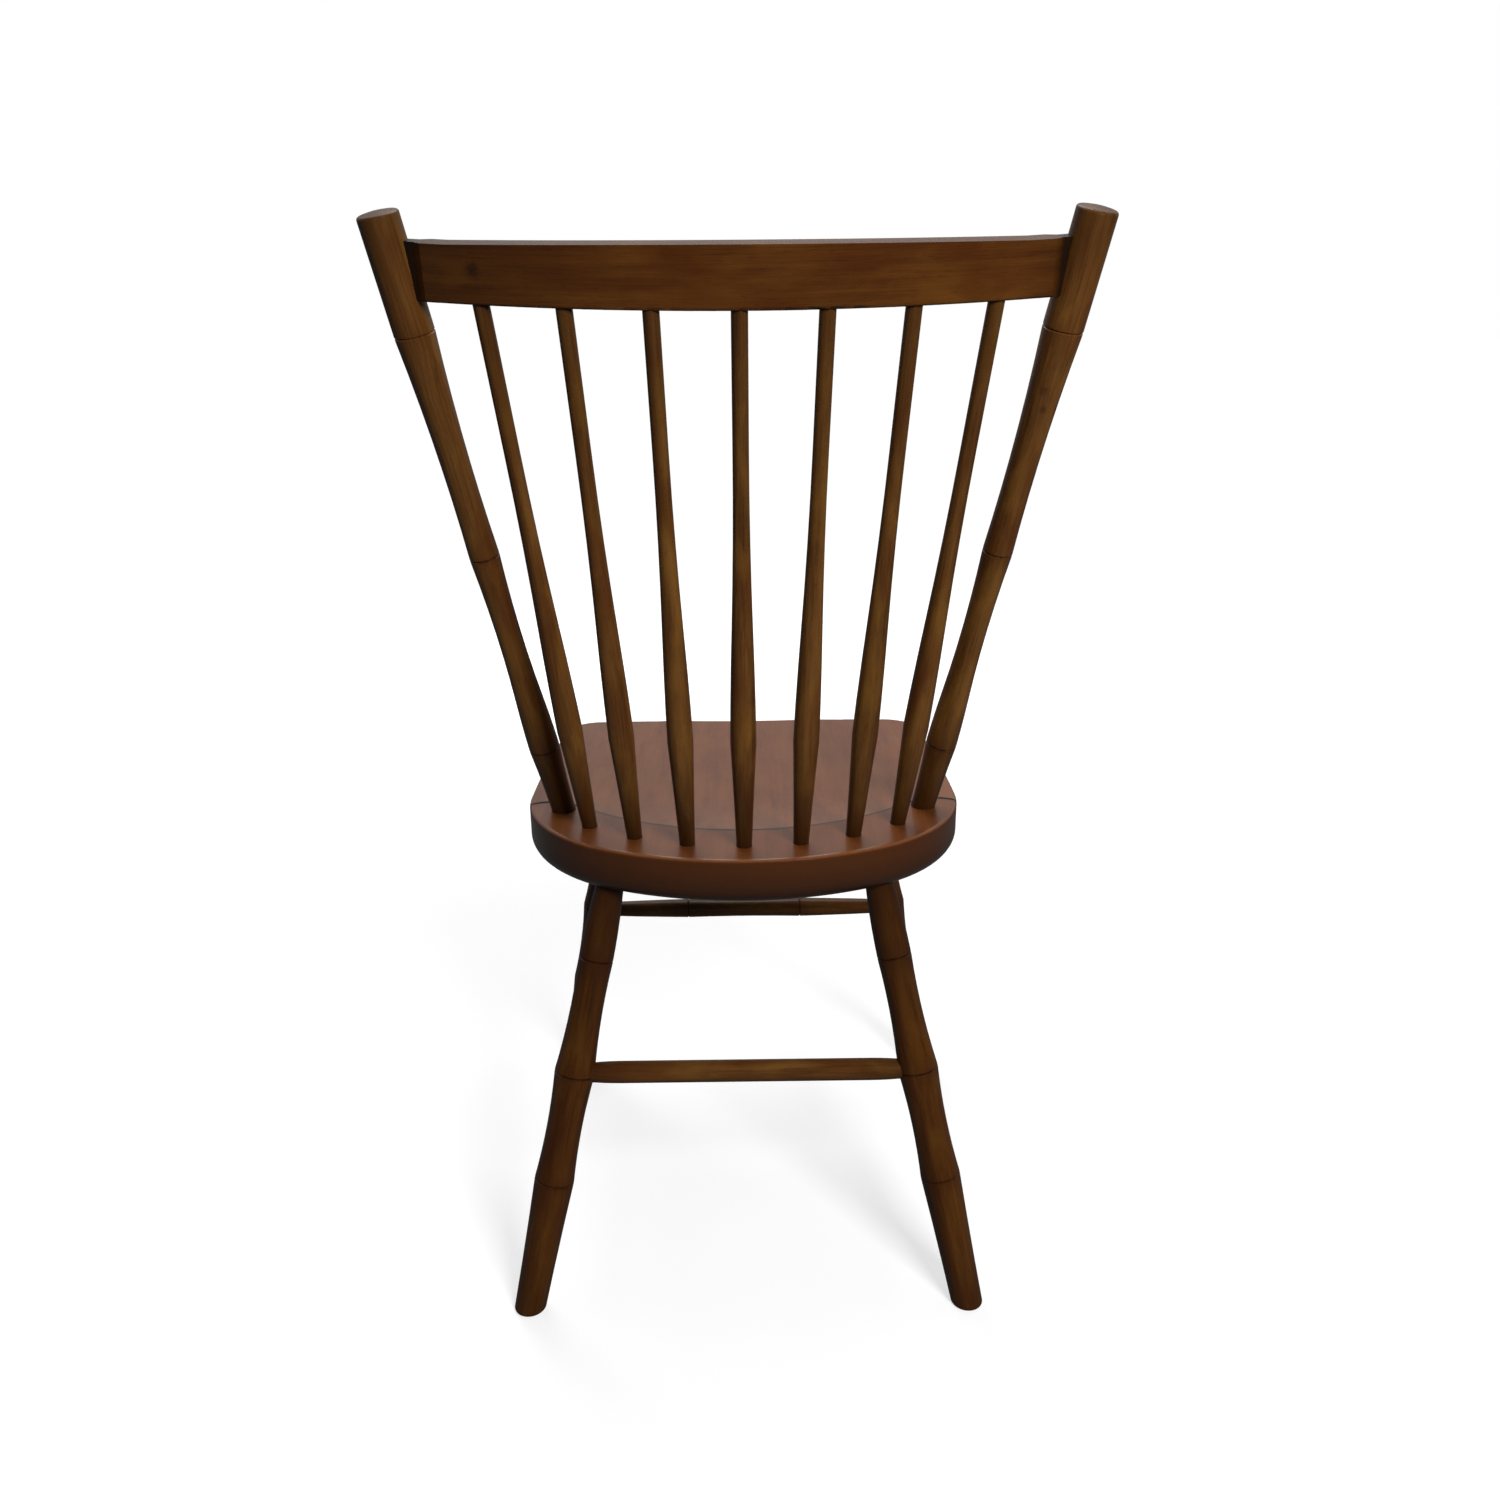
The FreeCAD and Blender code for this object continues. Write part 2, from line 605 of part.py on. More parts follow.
def leg_outline(leg):
    """Outline of a leg, from below the floor to its tenon."""
    length = leg[0].distanceToPoint(leg[1])
    shoulder = length - neck_length(leg, LEG_TENON_DIAMETER)
    foot = (-LEG_FOOT_DIAMETER / 2, LEG_FOOT_DIAMETER)
    low = (LEG_LOW_RING_HEIGHT, LEG_LOW_RING_DIAMETER)
    middle = (LEG_MIDDLE_RING_HEIGHT, LEG_MIDDLE_RING_DIAMETER)
    high = (LEG_HIGH_RING_HEIGHT, LEG_HIGH_RING_DIAMETER)
    low_waist = (LEG_LOW_RING_HEIGHT + LEG_LOW_WAIST_RISE, LEG_LOW_WAIST_DIAMETER)
    high_waist = (LEG_MIDDLE_RING_HEIGHT + LEG_HIGH_WAIST_RISE, LEG_HIGH_WAIST_DIAMETER)
    neck = ((LEG_HIGH_RING_HEIGHT + shoulder) / 2, LEG_NECK_DIAMETER)
    edges = [line(Vector(0, 0, foot[0]), outline_point(*foot))]
    edges += curved_span(foot, (LEG_LOW_RING_HEIGHT / 2, LEG_SHIN_DIAMETER), below_ring(*low))
    edges += ring_groove(*low)
    edges += curved_span(above_ring(*low), low_waist, below_ring(*middle))
    edges += ring_groove(*middle)
    edges += curved_span(above_ring(*middle), high_waist, below_ring(*high))
    edges += ring_groove(*high)
    edges += curved_span(above_ring(*high), neck, (shoulder, LEG_TENON_DIAMETER))
    return edges + tenon_above(shoulder, length + LEG_TENON_LENGTH, LEG_TENON_DIAMETER)


def drilled_leg(leg, across, beside):
    """Leg cut level at the floor and drilled for its two stretchers."""
    solid = turned(leg_outline(leg), leg)
    foot = leg[0]
    floor = Part.makeCylinder(2 * LEG_FOOT_DIAMETER, OVERRUN, Vector(foot.x, foot.y, -OVERRUN))
    solid = solid.cut(floor)
    rim = [edge for edge in solid.Edges if edge.BoundBox.ZMax < GLUE_GAP]
    solid = solid.makeFillet(LEG_FOOT_ROUND, rim)
    return solid.cut([across, beside])


def stretcher_hole(ends, diameter):
    """Hole in the leg at the first of a stretcher's two axis ends."""
    start, finish = ends
    return bore(start, direction_to(finish, start), diameter, -tenon_start())


def tenon_start():
    """Where a stretcher's tenon ends, along its axis from the leg's axis."""
    return LEG_MIDDLE_RING_DIAMETER / 2 - STRETCHER_TENON_REACH


def ring_stretcher(ends, end_diameter, ring_places, ring_diameter, waist):
    """Stretcher that swells at scored rings between thinner ends."""
    length = ends[0].distanceToPoint(ends[1])
    face = LEG_MIDDLE_RING_DIAMETER / 2
    rings = [(length / 2 + place, ring_diameter) for place in ring_places]
    ease = end_diameter + RING_STRETCHER_SWELL * (ring_diameter - end_diameter)
    edges = tenon_below(-tenon_start(), end_diameter, face)
    first_ease = ((face + rings[0][0]) / 2, ease)
    edges += curved_span((face, end_diameter), first_ease, below_ring(*rings[0]))
    for ring, following in zip(rings, rings[1:]):
        edges += ring_groove(*ring)
        between = ((ring[0] + following[0]) / 2, waist)
        edges += curved_span(above_ring(*ring), between, below_ring(*following))
    edges += ring_groove(*rings[-1])
    last_ease = ((length - face + rings[-1][0]) / 2, ease)
    edges += curved_span(above_ring(*rings[-1]), last_ease, (length - face, end_diameter))
    edges += tenon_above(length - face, length - tenon_start(), end_diameter)
    return turned(edges, ends)


def plain_stretcher(ends, diameter, end_diameter, taper):
    """Even stretcher that eases down to its tenons."""
    length = ends[0].distanceToPoint(ends[1])
    face = LEG_MIDDLE_RING_DIAMETER / 2
    near = (face + taper, diameter)
    far = (length - face - taper, diameter)
    ease = end_diameter + REAR_STRETCHER_SWELL * (diameter - end_diameter)
    edges = tenon_below(-tenon_start(), end_diameter, face)
    edges += curved_span((face, end_diameter), (face + taper / 2, ease), near)
    edges += straight_span(near, far)
    edges += curved_span(far, (length - face - taper / 2, ease), (length - face, end_diameter))
    edges += tenon_above(length - face, length - tenon_start(), end_diameter)
    return turned(edges, ends)


def base():
    """Legs and stretchers by name."""
    right_rear = (mirrored(REAR_LEG[0]), mirrored(REAR_LEG[1]))
    right_front = (mirrored(FRONT_LEG[0]), mirrored(FRONT_LEG[1]))
    side_height = STRETCHER_HEIGHT - SIDE_STRETCHER_DROP
    rear = (leg_point(REAR_LEG, STRETCHER_HEIGHT), leg_point(right_rear, STRETCHER_HEIGHT))
    front = (leg_point(FRONT_LEG, STRETCHER_HEIGHT), leg_point(right_front, STRETCHER_HEIGHT))
    side = (leg_point(REAR_LEG, side_height), leg_point(FRONT_LEG, side_height))
    side_hole = stretcher_hole(side, SIDE_STRETCHER_END)
    side_hole_ahead = stretcher_hole((side[1], side[0]), SIDE_STRETCHER_END)
    rear_leg = drilled_leg(REAR_LEG, stretcher_hole(rear, REAR_STRETCHER_END), side_hole)
    front_leg = drilled_leg(FRONT_LEG, stretcher_hole(front, FRONT_STRETCHER_END), side_hole_ahead)
    front_rings = (-FRONT_STRETCHER_RING_X, FRONT_STRETCHER_RING_X)
    side_stretcher = ring_stretcher(side, SIDE_STRETCHER_END, (0,), SIDE_STRETCHER_DIAMETER, None)
    return {
        "rear_leg_left": rear_leg,
        "rear_leg_right": mirror_copy(rear_leg),
        "front_leg_left": front_leg,
        "front_leg_right": mirror_copy(front_leg),
        "rear_stretcher": plain_stretcher(
            rear, REAR_STRETCHER_DIAMETER, REAR_STRETCHER_END, REAR_STRETCHER_TAPER),
        "front_stretcher": ring_stretcher(
            front, FRONT_STRETCHER_END, front_rings, FRONT_STRETCHER_DIAMETER, FRONT_STRETCHER_MIDDLE),
        "side_stretcher_left": side_stretcher,
        "side_stretcher_right": mirror_copy(side_stretcher),
    }


def back():
    """Posts, spindles and crest by name."""
    left_post = post()
    made = {"post_left": left_post, "post_right": mirror_copy(left_post), "crest_rail": crest_rail()}
    for index in range(SPINDLES):
        made["spindle_%d" % (index + 1)] = spindle(index)
    return made


def plan_middle(shapes):
    """Middle of the chair's plan from front to back."""
    boxes = [shape.optimalBoundingBox(False, False) for shape in shapes]
    return (min(box.YMin for box in boxes) + max(box.YMax for box in boxes)) / 2


def main():
    """Build the chair, centre it over the origin and write one file a piece."""
    os.makedirs("parts", exist_ok=True)
    pieces = {"seat": seat(), **back(), **base()}
    shift = Vector(0, -plan_middle(pieces.values()), 0)
    for name, shape in pieces.items():
        shape.translate(shift)
        shape.exportStep("parts/%s.step" % name)
    print("moved by", round(shift.y, 3))
    for name, leg in (("rear", REAR_LEG), ("front", FRONT_LEG)):
        print(name, "foot", [round(value, 3) for value in leg[0] + shift])


main()
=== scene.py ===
import logging
import math
from collections.abc import Sequence
from dataclasses import dataclass, replace
from enum import Enum
from itertools import product

import bpy
from mathutils import Euler, Matrix, Vector

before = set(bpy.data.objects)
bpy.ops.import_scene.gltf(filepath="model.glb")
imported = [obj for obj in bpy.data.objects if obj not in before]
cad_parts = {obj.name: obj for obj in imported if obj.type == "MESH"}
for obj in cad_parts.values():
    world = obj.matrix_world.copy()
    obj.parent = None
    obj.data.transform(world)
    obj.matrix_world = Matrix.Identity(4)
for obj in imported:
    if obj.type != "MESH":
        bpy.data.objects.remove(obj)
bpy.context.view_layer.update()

# Rod-back side chair in walnut-brown stained wood under a satin lacquer.
# Metres, Z up, the sitter faces -Y, and +X is to the sitter's left.

log = logging.getLogger("chair")

Colour = tuple[float, float, float]
Scale = tuple[float, float, float]
Stop = tuple[float, float]
Socket = bpy.types.NodeSocket

WHITE: Colour = (1.0, 1.0, 1.0)


class Side(Enum):
    """The chair's two halves, by the sign of X."""

    LEFT = 1.0
    RIGHT = -1.0

    def name_for(self, stem: str) -> str:
        """Name of the CAD node that stands on this side."""
        return f"{stem}_{self.name.lower()}"

    def place(self, point: Vector) -> Vector:
        """The point moved to this side of the chair."""
        return Vector((point.x * self.value, point.y, point.z))


class Slot(Enum):
    """The record's material slots."""

    TURNED = "turned_wood"
    CREST = "crest_wood"
    SEAT = "seat_wood"


@dataclass(frozen=True)
class Cloud:
    """A noise pattern.

    scale is how fast it changes on each axis, detail its number of octaves,
    rough the weight of the finer ones, and twist its distortion.
    """

    scale: Scale
    detail: float
    rough: float = 0.5
    twist: float = 0.0


# The grain's patterns, fast across it and slow along it.
STREAKS = Cloud((720.0, 720.0, 14.0), 6.0, 0.62, 0.2)
PORES = Cloud((2600.0, 2600.0, 120.0), 2.0)
BROAD_FIGURE = Cloud((95.0, 95.0, 5.0), 5.0, 0.55, 0.4)
RED_PATCHES = Cloud((26.0, 26.0, 9.0), 3.0, twist=0.6)
AMBER_PATCHES = Cloud((41.0, 41.0, 14.0), 3.0, twist=0.6)
GLOSS_WEAR = Cloud((60.0, 60.0, 34.0), 6.0, 0.65)
LINE_WEAR = Cloud((150.0, 150.0, 30.0), 3.0)
KNOT_EDGE = Cloud((420.0, 420.0, 420.0), 2.0)

FIGURE_STEP = (0.317, 0.191, 0.743)  # move of the figure from seed to seed
FIGURE_STOPS = (0.34, 0.5, 0.66)  # where the deep, middle and pale stain lie
BROAD_SHARE = 0.55
STREAK_SHARE = 0.45
PORE_START, PORE_FULL = 0.6, 0.72
PATCH_START, PATCH_FULL = 0.46, 0.68
RED_MOST = 0.62
AMBER_MOST = 0.7
KNOT_STOPS = (0.15, 0.55, 1.0)  # its dark middle, its half shade and its rim
LINE_LEVELS = ((0.35, 0.5), (0.6, 1.0))
STREAK_HEIGHT = 0.6
BUMP_DISTANCE = 0.0003
GLOSS_SPREAD = 0.22


class NodeSheet:
    """A node tree that is filled with short calls."""

    def __init__(self, tree: bpy.types.NodeTree) -> None:
        """Take over a tree and empty it.

        Args:
            tree: node tree of a material or of the world.
        """
        self.tree = tree
        tree.nodes.clear()

    def add(self, kind: str, inputs: dict | None = None, **settings: object) -> bpy.types.Node:
        """Add one node.

        Args:
            kind: Blender's name for the node's type.
            inputs: socket name or number, and the value or output that fills it.
            settings: the node's own options.

        Returns:
            The new node.
        """
        node = self.tree.nodes.new(kind)
        for name, value in settings.items():
            setattr(node, name, value)
        for socket, value in (inputs or {}).items():
            if isinstance(value, Socket):
                self.tree.links.new(value, node.inputs[socket])
            else:
                node.inputs[socket].default_value = value
        return node

    def maths(self, operation: str, first: Socket | float, second: Socket | float = 0.0,
              third: Socket | float = 0.0) -> Socket:
        """Output of a Math node.

        Args:
            operation: Blender's name for the operation.
            first: value or output.
            second: value or output.
            third: value or output, for the operations that take three.

        Returns:
            The result.
        """
        inputs = {0: first, 1: second, 2: third}
        return self.add("ShaderNodeMath", inputs, operation=operation).outputs[0]

    def product(self, first: Socket | float, second: Socket | float) -> Socket:
        """Two values multiplied."""
        return self.maths("MULTIPLY", first, second)

    def scaled(self, place: Socket, scale: Scale) -> Socket:
        """The place multiplied by a scale on each axis."""
        node = self.add("ShaderNodeVectorMath", {0: place, 1: scale}, operation="MULTIPLY")
        return node.outputs[0]

    def moved(self, place: Socket, offset: tuple[float, float, float]) -> Socket:
        """The place moved by an offset."""
        return self.add("ShaderNodeVectorMath", {0: place, 1: offset}, operation="ADD").outputs[0]

    def split(self, place: Socket) -> tuple[Socket, Socket, Socket]:
        """The place's three numbers."""
        return tuple(self.add("ShaderNodeSeparateXYZ", {0: place}).outputs)

    def joined(self, x: Socket | float, y: Socket | float, z: Socket | float = 0.0) -> Socket:
        """A place made of three numbers."""
        return self.add("ShaderNodeCombineXYZ", {0: x, 1: y, 2: z}).outputs[0]

    def length(self, place: Socket) -> Socket:
        """Distance of the place from zero."""
        return self.add("ShaderNodeVectorMath", {0: place}, operation="LENGTH").outputs["Value"]

    def coords(self) -> Socket:
        """Coordinates of the object, which are the chair's own."""
        return self.add("ShaderNodeTexCoord").outputs["Object"]

    def turned(self, centre: Vector, turn: Euler | tuple[float, float, float]) -> Socket:
        """Coordinates measured from a centre along turned axes."""
        inputs = {"Vector": self.coords(), "Location": centre, "Rotation": turn}
        return self.add("ShaderNodeMapping", inputs, vector_type="TEXTURE").outputs[0]

    def facing_up(self) -> Socket:
        """How far a face looks up, from -1 to 1."""
        return self.split(self.add("ShaderNodeNewGeometry").outputs["True Normal"])[2]

    def noise(self, place: Socket, cloud: Cloud) -> Socket:
        """Output of a noise texture.

        Args:
            place: coordinates.
            cloud: the pattern.

        Returns:
            The factor, from 0 to 1.
        """
        inputs = {
            "Vector": self.scaled(place, cloud.scale),
            "Scale": 1.0,
            "Detail": cloud.detail,
            "Roughness": cloud.rough,
            "Distortion": cloud.twist,
        }
        return self.add("ShaderNodeTexNoise", inputs).outputs[0]

    def ramp(self, factor: Socket, stops: Sequence[tuple[float, Colour]],
             mode: str = "LINEAR") -> Socket:
        """Colour picked from a ramp.

        Args:
            factor: place on the ramp, from 0 to 1.
            stops: positions in rising order, each with its colour.
            mode: how the ramp runs from stop to stop.

        Returns:
            The colour.
        """
        node = self.add("ShaderNodeValToRGB", {0: factor})
        node.color_ramp.interpolation = mode
        elements = node.color_ramp.elements
        while len(elements) < len(stops):
            elements.new(1.0)
        for element, (position, colour) in zip(elements, stops):
            element.position = position
            element.color = (*colour, 1.0)
        return node.outputs[0]

    def levels(self, factor: Socket, stops: Sequence[Stop], mode: str = "LINEAR") -> Socket:
        """Grey value picked from a ramp of plain numbers."""
        return self.ramp(factor, [(position, (value,) * 3) for position, value in stops], mode)

    def blend(self, factor: Socket | float, first: Socket | Colour,
              second: Socket | Colour) -> Socket:
        """Two colours mixed.

        Args:
            factor: share of the second colour.
            first: colour or output.
            second: colour or output.

        Returns:
            The mixed colour.
        """
        fill = [value if isinstance(value, Socket) else (*value, 1.0) for value in (first, second)]
        inputs = {0: factor, 6: fill[0], 7: fill[1]}
        return self.add("ShaderNodeMix", inputs, data_type="RGBA").outputs[2]


@dataclass(frozen=True)
class Knot:
    """A small knot that took up more stain.

    The reach is its radius, and the depth how far it hides the wood round it.
    """

    centre: Vector
    reach: float
    depth: float = 0.8


@dataclass(frozen=True)
class Masks:
    """Where a piece departs from its even stain, each from 0 to 1.

    red is warmer stain, and dark makes the wood darker: at the ends of the
    sticks, on the seat's sides and rim, and as painted shade on the legs'
    tops under the seat and towards the crest's ends. The pale mask is wear
    with a painted highlight on the seat's edges, and only a painted highlight
    on the crest's top edge. The darkest mask is the cut lines, with painted
    shade in the crest's shoulders and low on the seat.
    """

    red: Socket | None = None
    dark: Socket | None = None
    highlight_and_wear: Socket | None = None
    cut_lines_and_shade: Socket | None = None


@dataclass(frozen=True)
class StickGrain:
    """Grain that runs along a straight stick.

    start and finish are the axis ends, and rings the distances of the cut
    rings from the start. The shades tell how much darker the wood is at the
    two ends, and the runs how far it reaches; on the legs the darker top is
    painted shade under the seat. A line is a ring's dark cut, and a belt the
    reddish stain round it.
    """

    start: Vector
    finish: Vector
    rings: tuple[float, ...]
    low_shade: float
    high_shade: float
    low_run: float = 0.06
    high_run: float = 0.06
    line_half: float = 0.0011
    line_shade: float = 0.85
    belt_half: float = 0.022
    belt_red: float = 0.6

    @property
    def length(self) -> float:
        """Length of the axis."""
        return (self.finish - self.start).length

    def place(self, sheet: NodeSheet) -> Socket:
        """Coordinates whose Z runs up the stick from its start."""
        turn = (self.finish - self.start).to_track_quat("Z", "Y").to_euler()
        return sheet.turned(self.start, turn)

    def spread(self, sheet: NodeSheet, share: Socket, stops: Sequence[Stop]) -> Socket:
        """Grey levels at distances along the stick, in metres."""
        return sheet.levels(share, [(at / self.length, value) for at, value in stops])

    def masks(self, sheet: NodeSheet, place: Socket) -> Masks:
        """Dark ends, reddish belts round the rings and uneven scored lines.

        Args:
            sheet: the material's nodes.
            place: coordinates along the stick.

        Returns:
            The masks of this stick.
        """
        share = sheet.maths("DIVIDE", sheet.split(place)[2], self.length)
        ends = [(0.0, self.low_shade), (self.low_run, 0.0)]
        ends += [(self.length - self.high_run, 0.0), (self.length, self.high_shade)]
        dark = self.spread(sheet, share, ends)
        if not self.rings:
            return Masks(dark=dark)
        lines: list[Stop] = []
        belts: list[Stop] = []
        for ring in sorted(self.rings):
            lines += [(ring - self.line_half, 0.0), (ring - self.line_half / 2, self.line_shade)]
            lines += [(ring + self.line_half / 2, self.line_shade), (ring + self.line_half, 0.0)]
            belts += [(ring - self.belt_half, 0.0), (ring, self.belt_red)]
            belts += [(ring + self.belt_half, 0.0)]
        uneven = sheet.levels(sheet.noise(place, LINE_WEAR), LINE_LEVELS)
        red = sheet.product(self.spread(sheet, share, belts), uneven)
        cut_lines_and_shade = sheet.product(self.spread(sheet, share, lines), uneven)
        return Masks(red=red, dark=dark, cut_lines_and_shade=cut_lines_and_shade)


@dataclass(frozen=True)
class BentGrain:
    """Grain that follows the bent crest round its centre.

    The ramps of painted shade, towards the ends and most to the left, and
    in the bevels at the shoulders, are dark at shares of the crest's length
    from its right end. The painted highlight on the top edge goes by how far
    a face looks up.
    """

    centre: Vector
    tilt: float
    radius: float
    half_angle: float
    # Painted shade: darker towards the ends, most towards the left one.
    tint_and_shade: tuple[Stop, ...] = (
        (0.03, 0.35), (0.10, 0.0), (0.66, 0.0), (0.88, 0.30), (0.97, 0.5),
    )
    # Painted shade in the bevels where the crest meets the posts.
    shoulder_shade: tuple[Stop, ...] = (
        (0.032, 0.9), (0.038, 0.35), (0.048, 0.0), (0.952, 0.0), (0.962, 0.35), (0.968, 0.9),
    )
    # Painted highlight along the top edge.
    wear_and_sheen: tuple[Stop, ...] = ((0.35, 0.0), (0.6, 0.55), (0.85, 0.35), (0.98, 0.06))

    def place(self, sheet: NodeSheet) -> Socket:
        """Coordinates of depth, height and distance round the bend.

        Args:
            sheet: the material's nodes.

        Returns:
            The coordinates.
        """
        across, out, height = sheet.split(sheet.turned(self.centre, (-self.tilt, 0.0, 0.0)))
        run = sheet.product(sheet.maths("ARCTAN2", across, out), self.radius)
        depth = sheet.maths("SUBTRACT", sheet.length(sheet.joined(across, out)), self.radius)
        return sheet.joined(depth, height, run)

    def masks(self, sheet: NodeSheet, place: Socket) -> Masks:
        """Painted shade to the left and in each shoulder's gap, and a painted top-edge highlight.

        Args:
            sheet: the material's nodes.
            place: coordinates round the bend.

        Returns:
            The masks of the crest.
        """
        half = self.radius * self.half_angle
        share = sheet.maths("MULTIPLY_ADD", sheet.split(place)[2], 0.5 / half, 0.5)
        # Painted shade towards the ends and at the shoulders, and a painted highlight on the top
        # edge.
        dark = sheet.levels(share, self.tint_and_shade)
        highlight_and_wear = sheet.levels(sheet.facing_up(), self.wear_and_sheen)
        return Masks(dark=dark, highlight_and_wear=highlight_and_wear, cut_lines_and_shade=sheet.levels(share, self.shoulder_shade))


@dataclass(frozen=True)
class PlankGrain:
    """Grain that runs from the front of the seat to its back.

    The course gives how far back the cut line lies at some distances from
    the middle, and rim_shade how much darker the wood is behind it. The line
    fades over line_span half widths. top_faces, the darker sides, the paler
    edges of wear and painted highlight, and upright go by how far a face
    looks up, and under_shade, painted shade low on the sides and underneath,
    by the height in the plank.
    """

    top: float = 0.445
    thickness: float = 0.044
    line_half: float = 0.0024
    line_span: float = 4.0
    line_core: float = 0.2
    line_end: float = 0.45
    line_shade: float = 0.95
    rim_shade: float = 0.36
    top_faces: tuple[Stop, ...] = ((0.4, 0.0), (0.55, 1.0))
    # Darker on the sides, by how far a face looks up.
    side_darkening: tuple[Stop, ...] = ((0.0, 0.92), (0.35, 0.85), (0.75, 0.25), (0.95, 0.0))
    # Paler rounded top edges: wear with a painted highlight.
    wear_and_sheen: tuple[Stop, ...] = ((0.45, 0.0), (0.72, 0.3), (0.9, 0.3), (0.985, 0.0))
    upright: tuple[Stop, ...] = ((0.2, 1.0), (0.5, 0.0))
    # Painted shade low on the sides and under the plank.
    under_shade: tuple[Stop, ...] = ((0.0, 0.85), (0.3, 0.5), (0.75, 0.0))
    course: tuple[Stop, ...] = (
        (0.0, 0.1048), (0.03, 0.1025), (0.06, 0.0958), (0.09, 0.0848), (0.12, 0.0689),
        (0.135, 0.0589), (0.15, 0.0474), (0.165, 0.0363), (0.18, 0.0297), (0.195, 0.0299),
        (0.21, 0.0367),
    )

    def place(self, sheet: NodeSheet) -> Socket:
        """Coordinates of width, height and distance to the back."""
        across, back, height = sheet.split(sheet.coords())
        return sheet.joined(across, height, back)

    def behind_line(self, sheet: NodeSheet, place: Socket) -> Socket:
        """Distance behind the scored line.

        Args:
            sheet: the material's nodes.
            place: coordinates in the plank.

        Returns:
            The distance in metres, below zero in front of the line.
        """
        across, _, back = sheet.split(place)
        widest = self.course[-1][0]
        share = sheet.maths("DIVIDE", sheet.maths("ABSOLUTE", across), widest)
        line = sheet.levels(share, [(at / widest, run) for at, run in self.course])
        return sheet.maths("SUBTRACT", back, line)

    def masks(self, sheet: NodeSheet, place: Socket) -> Masks:
        """Darker sides and rim, painted shade below, painted highlight and wear on edges, the cut
        line.

        Args:
            sheet: the material's nodes.
            place: coordinates in the plank.

        Returns:
            The masks of the seat.
        """
        level = sheet.facing_up()
        behind = self.behind_line(sheet, place)
        span = self.line_span * self.line_half
        away = sheet.maths("DIVIDE", sheet.maths("ABSOLUTE", behind), span)
        line = sheet.levels(away, [(self.line_core, self.line_shade), (self.line_end, 0.0)])
        top = sheet.levels(level, self.top_faces)
        edge = sheet.levels(level, self.side_darkening)
        rim = sheet.product(sheet.maths("GREATER_THAN", behind, 0.0), self.rim_shade)
        # Wear with a painted highlight on the rounded top edges.
        highlight_and_wear = sheet.levels(level, self.wear_and_sheen)
        height = sheet.split(place)[1]
        foot = 1.0 - self.top / self.thickness
        rise = sheet.maths("MULTIPLY_ADD", height, 1.0 / self.thickness, foot)
        upright = sheet.levels(level, self.upright)
        shadow = sheet.product(upright, sheet.levels(rise, self.under_shade))
        # The dark cut line, joined by the painted shade low on the sides and underneath.
        cut_lines_and_shade = sheet.maths("MAXIMUM", sheet.product(line, top), shadow)
        return Masks(dark=sheet.maths("MAXIMUM", edge, rim), highlight_and_wear=highlight_and_wear, cut_lines_and_shade=cut_lines_and_shade)


Grain = StickGrain | BentGrain | PlankGrain


